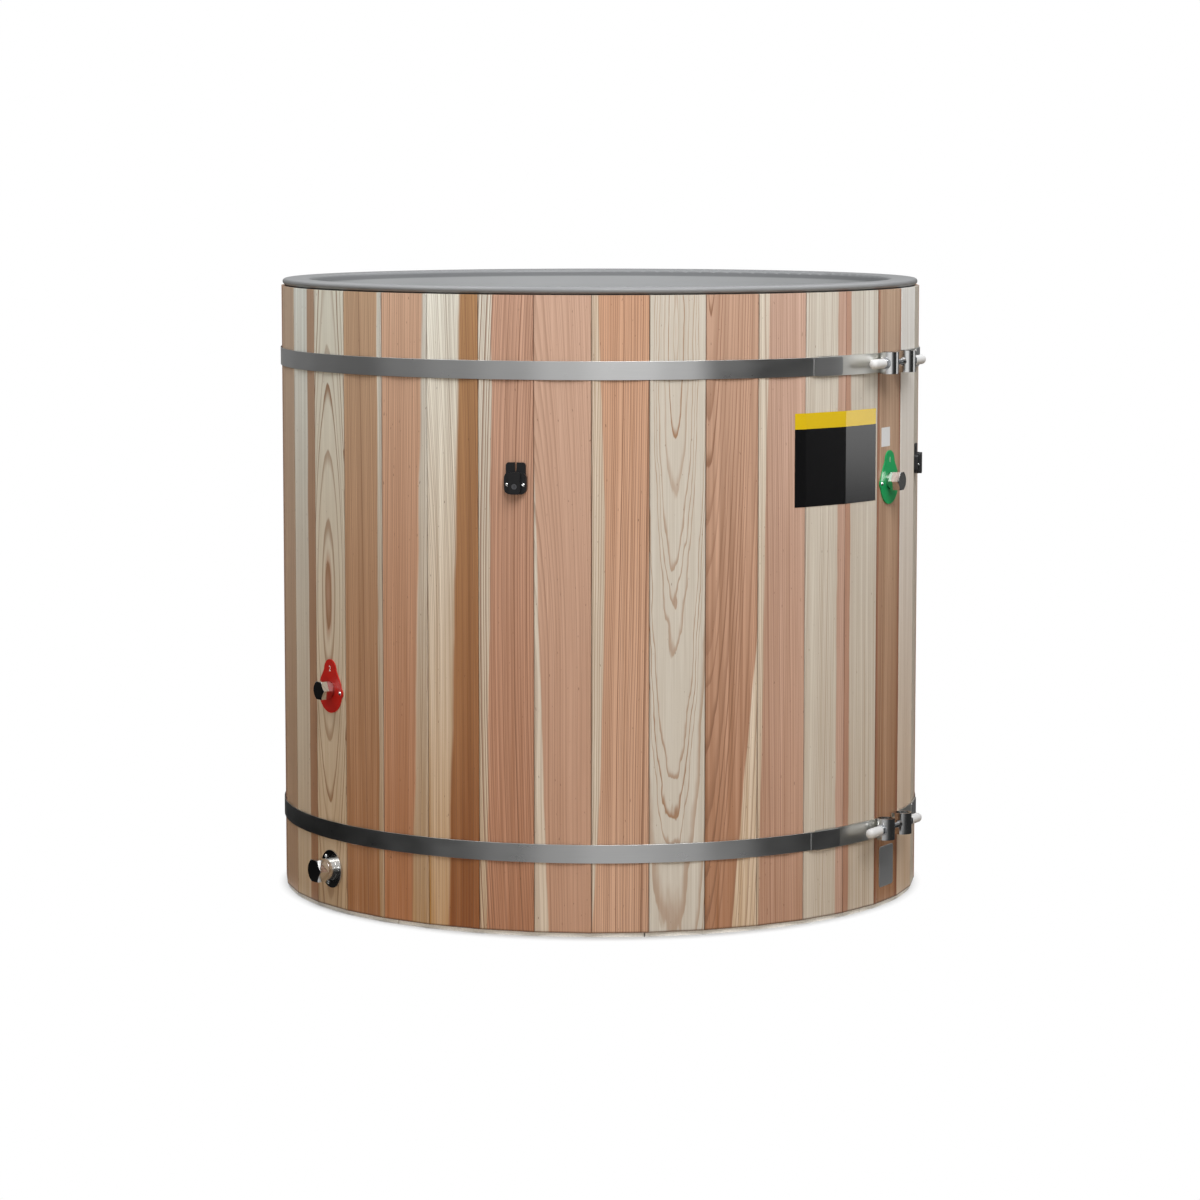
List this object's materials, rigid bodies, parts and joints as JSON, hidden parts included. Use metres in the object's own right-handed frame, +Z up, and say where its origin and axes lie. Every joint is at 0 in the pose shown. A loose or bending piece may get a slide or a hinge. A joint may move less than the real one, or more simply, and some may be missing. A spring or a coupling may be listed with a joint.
{
  "type": "barrel cold plunge tub",
  "caption": "Round cedar-stave plunge tub with an insulated grey liner, two clamped steel hoops and capped water connections.",
  "frame": {"origin": "centre of the base, on the floor", "axes": "+Z up, front of the tub faces -Y, inlet side towards +X"},
  "size_m": [1.1028, 1.1022, 1.05],
  "materials": {
    "cedar_cream": "clear oiled cedar sapwood",
    "cedar_pink": "clear oiled cedar",
    "cedar_tan": "clear oiled cedar heartwood",
    "base_ring": "matte moulded",
    "batten_wood": "planed, treated",
    "deck_wood": "sealed plywood",
    "foam": "closed-cell foam",
    "liner": "smooth gloss grey",
    "black_rubber": "matte rubber",
    "hoop_steel": "satin stainless",
    "zinc_steel": "bright stainless",
    "chrome": "polished",
    "white_plastic": "soft moulded",
    "red_paint": "gloss enamel",
    "green_paint": "gloss enamel",
    "grate_plastic": "moulded",
    "black_plastic": "moulded nylon",
    "lock_metal": "black plated"
  },
  "bodies": {
    "tub": {"stave_01": "cedar_cream", "stave_02": "cedar_cream", "stave_03": "cedar_cream", "stave_04": "cedar_tan", "stave_05": "cedar_pink", "stave_06": "cedar_tan", "stave_07": "cedar_pink", "stave_08": "cedar_pink", "stave_09": "cedar_pink", "stave_10": "cedar_cream", "stave_11": "cedar_pink", "stave_12": "cedar_pink", "stave_13": "cedar_cream", "stave_14": "cedar_cream", "stave_15": "cedar_tan", "stave_16": "cedar_cream", "rear_staves": "cedar_pink", "base_ring": "base_ring", "base_battens": "batten_wood", "floor_deck": "deck_wood", "insulation": "foam", "liner": "liner", "lip_seal": "black_rubber", "upper_hoop": "hoop_steel", "lower_hoop": "hoop_steel", "upper_hoop_lugs": "hoop_steel", "lower_hoop_lugs": "hoop_steel", "tension_rods": "zinc_steel", "tension_washers": "zinc_steel", "outlet_plate": "red_paint", "inlet_plate": "green_paint", "drain_plate": "chrome", "outlet_fitting": "chrome", "inlet_fitting": "chrome", "drain_fitting": "chrome", "flange_gaskets": "black_rubber", "locknuts": "chrome", "suction_strainer": "grate_plastic", "return_nozzle": "grate_plastic", "drain_grate": "chrome", "cover_clips": "black_plastic", "wall_screws": "zinc_steel"},
    "outlet_seal_body": {"outlet_seal": "black_rubber"},
    "outlet_cap_body": {"outlet_cap": "chrome"},
    "inlet_seal_body": {"inlet_seal": "black_rubber"},
    "inlet_cap_body": {"inlet_cap": "chrome"},
    "drain_seal_body": {"drain_seal": "black_rubber"},
    "drain_cap_body": {"drain_cap": "chrome"},
    "upper_left_nut_body": {"upper_left_nut": "zinc_steel"},
    "upper_right_nut_body": {"upper_right_nut": "zinc_steel"},
    "lower_left_nut_body": {"lower_left_nut": "zinc_steel"},
    "lower_right_nut_body": {"lower_right_nut": "zinc_steel"},
    "upper_left_end_cap_body": {"upper_left_end_cap": "white_plastic"},
    "upper_right_end_cap_body": {"upper_right_end_cap": "white_plastic"},
    "lower_left_end_cap_body": {"lower_left_end_cap": "white_plastic"},
    "lower_right_end_cap_body": {"lower_right_end_cap": "white_plastic"},
    "front_lock_body": {"front_lock": "lock_metal"},
    "right_lock_body": {"right_lock": "lock_metal"},
    "back_lock_body": {"back_lock": "lock_metal"},
    "left_lock_body": {"left_lock": "lock_metal"}
  },
  "joints": [
    {"name": "outlet_cap_travel", "type": "slide", "parent": "tub", "child": "outlet_seal_body", "axis": [-0.8188, -0.5741, 0], "range_m": [0, 0.01098]},
    {"name": "outlet_cap_turn", "type": "hinge", "parent": "outlet_seal_body", "child": "outlet_cap_body", "pos_m": [-0.44871, -0.31462, 0.374], "axis": [-0.8188, -0.5741, 0], "range_deg": [0, 2160]},
    {"name": "inlet_cap_travel", "type": "slide", "parent": "tub", "child": "inlet_seal_body", "axis": [0.8812, -0.4727, 0], "range_m": [0, 0.01098]},
    {"name": "inlet_cap_turn", "type": "hinge", "parent": "inlet_seal_body", "child": "inlet_cap_body", "pos_m": [0.48294, -0.25902, 0.719], "axis": [0.8812, -0.4727, 0], "range_deg": [0, 2160]},
    {"name": "drain_cap_travel", "type": "slide", "parent": "tub", "child": "drain_seal_body", "axis": [-0.8188, -0.5741, 0], "range_m": [0, 0.01165]},
    {"name": "drain_cap_turn", "type": "hinge", "parent": "drain_seal_body", "child": "drain_cap_body", "pos_m": [-0.44871, -0.31462, 0.071], "axis": [-0.8188, -0.5741, 0], "range_deg": [0, 1800]},
    {"name": "upper_left_nut_turn", "type": "hinge", "parent": "tub", "child": "upper_left_nut_body", "pos_m": [0.46864, -0.32154, 0.918], "axis": [-0.4818, -0.8763, 0], "range_deg": [0, 720]},
    {"name": "upper_left_end_cap_pull", "type": "slide", "parent": "tub", "child": "upper_left_end_cap_body", "axis": [-0.4818, -0.8763, 0], "range_m": [0, 0.04]},
    {"name": "upper_right_nut_turn", "type": "hinge", "parent": "tub", "child": "upper_right_nut_body", "pos_m": [0.5226, -0.2234, 0.918], "axis": [0.4818, 0.8763, 0], "range_deg": [0, 720]},
    {"name": "upper_right_end_cap_pull", "type": "slide", "parent": "tub", "child": "upper_right_end_cap_body", "axis": [0.4818, 0.8763, 0], "range_m": [0, 0.04]},
    {"name": "lower_left_nut_turn", "type": "hinge", "parent": "tub", "child": "lower_left_nut_body", "pos_m": [0.46864, -0.32154, 0.137], "axis": [-0.4818, -0.8763, 0], "range_deg": [0, 720]},
    {"name": "lower_left_end_cap_pull", "type": "slide", "parent": "tub", "child": "lower_left_end_cap_body", "axis": [-0.4818, -0.8763, 0], "range_m": [0, 0.04]},
    {"name": "lower_right_nut_turn", "type": "hinge", "parent": "tub", "child": "lower_right_nut_body", "pos_m": [0.5226, -0.2234, 0.137], "axis": [0.4818, 0.8763, 0], "range_deg": [0, 720]},
    {"name": "lower_right_end_cap_pull", "type": "slide", "parent": "tub", "child": "lower_right_end_cap_body", "axis": [0.4818, 0.8763, 0], "range_m": [0, 0.04]},
    {"name": "front_lock_turn", "type": "hinge", "parent": "tub", "child": "front_lock_body", "pos_m": [-0.13712, -0.5412, 0.732], "axis": [0.2764, 0.961, 0], "range_deg": [0, 90]},
    {"name": "right_lock_turn", "type": "hinge", "parent": "tub", "child": "right_lock_body", "pos_m": [0.54824, -0.10621, 0.732], "axis": [-0.9884, 0.1521, 0], "range_deg": [0, 90]},
    {"name": "back_lock_turn", "type": "hinge", "parent": "tub", "child": "back_lock_body", "pos_m": [0.13174, 0.54278, 0.732], "axis": [-0.1939, -0.981, 0], "range_deg": [0, 90]},
    {"name": "left_lock_turn", "type": "hinge", "parent": "tub", "child": "left_lock_body", "pos_m": [-0.54103, 0.13677, 0.732], "axis": [0.9719, -0.2353, 0], "range_deg": [0, 90]}
  ],
  "couplings": [
    {"joint": "outlet_cap_travel", "follows": "outlet_cap_turn", "m_per_rad": 0.00028871},
    {"joint": "inlet_cap_travel", "follows": "inlet_cap_turn", "m_per_rad": 0.00028871},
    {"joint": "drain_cap_travel", "follows": "drain_cap_turn", "m_per_rad": 0.00036749}
  ]
}
